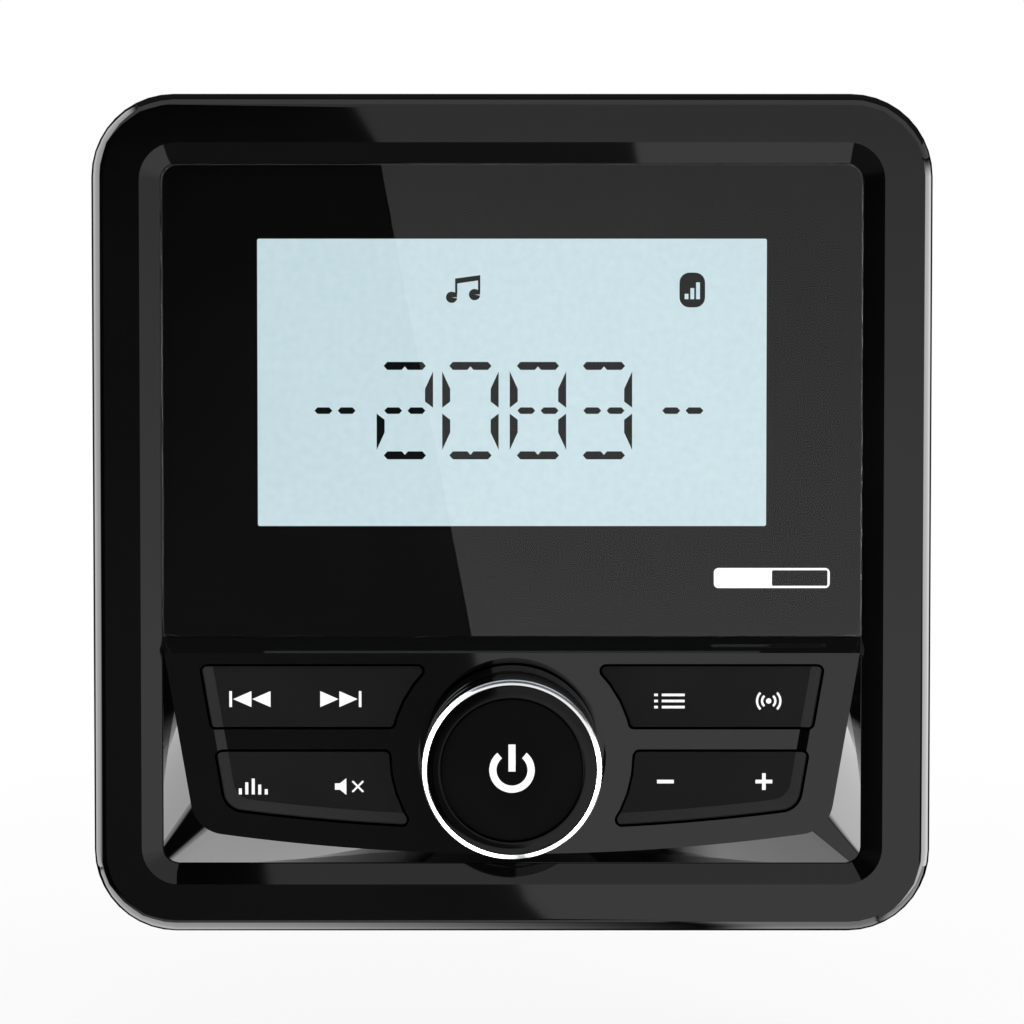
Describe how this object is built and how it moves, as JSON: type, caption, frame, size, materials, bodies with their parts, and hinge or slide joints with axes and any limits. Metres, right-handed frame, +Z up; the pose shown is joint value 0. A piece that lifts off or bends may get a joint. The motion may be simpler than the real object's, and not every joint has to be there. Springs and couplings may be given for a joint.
{
  "type": "marine stereo head unit",
  "caption": "Square gauge-style marine stereo with a display behind a black lens, rocker keys around a push-and-turn knob, and a round can that clamps into a panel cut-out.",
  "frame": {"origin": "centre of the panel cut-out, on the plane where the gasket meets the panel's front", "axes": "+X to the viewer's right, +Y into the panel along the axis of the can, +Z up"},
  "size_m": [0.11, 0.1118, 0.11],
  "materials": {
    "gloss_black": "polished black moulding",
    "matte_black": "fine matte moulding",
    "housing_black": "lightly grained moulding",
    "lens_clear": "clear polished acrylic",
    "mask_black": "black printed film",
    "display": "pale blue backlit display",
    "white_plastic": "white moulding",
    "clear_guide": "frosted clear moulding",
    "lamp": "resin lamp body",
    "bright_trim": "bright plated trim",
    "dark_rubber": "moulded rubber",
    "silicone": "silicone elastomer",
    "board": "green solder mask",
    "chip": "moulded resin package",
    "steel": "stainless steel",
    "contact_brass": "plated contacts",
    "sink_aluminium": "extruded aluminium",
    "sleeve_blue": "shrink sleeve",
    "ferrite": "wound ferrite ring"
  },
  "bodies": {
    "chassis": {"front_bezel": "gloss_black", "display_lens": "lens_clear", "lens_mask": "mask_black", "lcd_glass": "display", "lcd_frame": "white_plastic", "light_guide": "clear_guide", "backlight_leds": "lamp", "contact_strip": "silicone", "control_fascia": "gloss_black", "key_membrane": "dark_rubber", "contact_pills": "dark_rubber", "front_pcb": "board", "control_ic": "chip", "encoder_body": "chip", "encoder_bushing": "steel", "encoder_nut": "steel", "fascia_screws": "steel", "board_screws": "steel", "bezel_seal": "dark_rubber", "back_plate": "housing_black", "rear_can": "housing_black", "bezel_screws": "steel", "panel_gasket": "dark_rubber", "main_pcb": "board", "main_board_screws": "steel", "board_connector": "white_plastic", "amplifier_ic": "chip", "tuner_module": "steel", "capacitors": "sleeve_blue", "inductor": "ferrite", "heat_sink": "sink_aluminium", "heat_sink_screws": "steel", "harness_socket": "white_plastic", "harness_contacts": "contact_brass", "antenna_socket": "steel", "clamp_studs": "steel"},
    "upper_left_rocker": {"upper_left_key": "matte_black"},
    "lower_left_rocker": {"lower_left_key": "matte_black"},
    "upper_right_rocker": {"upper_right_key": "matte_black"},
    "lower_right_rocker": {"lower_right_key": "matte_black"},
    "knob_slide": {"encoder_plunger": "white_plastic"},
    "knob": {"knob_body": "gloss_black", "knob_ring": "bright_trim", "knob_cap": "matte_black", "encoder_shaft": "steel"}
  },
  "joints": [
    {"name": "upper_left_rock", "type": "hinge", "parent": "chassis", "child": "upper_left_rocker", "pos_m": [-0.02652, -0.01545, -0.02372], "axis": [0, 0, 1], "range_deg": [-2, 2], "stiffness_Nm_per_rad": 0.5},
    {"name": "lower_left_rock", "type": "hinge", "parent": "chassis", "child": "lower_left_rocker", "pos_m": [-0.02652, -0.01545, -0.0353], "axis": [0, 0, 1], "range_deg": [-2, 2], "stiffness_Nm_per_rad": 0.5},
    {"name": "upper_right_rock", "type": "hinge", "parent": "chassis", "child": "upper_right_rocker", "pos_m": [0.02652, -0.01545, -0.02372], "axis": [0, 0, 1], "range_deg": [-2, 2], "stiffness_Nm_per_rad": 0.5},
    {"name": "lower_right_rock", "type": "hinge", "parent": "chassis", "child": "lower_right_rocker", "pos_m": [0.02652, -0.01545, -0.0353], "axis": [0, 0, 1], "range_deg": [-2, 2], "stiffness_Nm_per_rad": 0.5},
    {"name": "knob_push", "type": "slide", "parent": "chassis", "child": "knob_slide", "axis": [0, 1, 0], "range_m": [0, 0.0005], "stiffness_N_per_m": 4000},
    {"name": "knob_turn", "type": "hinge", "parent": "knob_slide", "child": "knob", "pos_m": [0, -0.02, -0.0315], "axis": [0, 1, 0], "continuous": true}
  ]
}
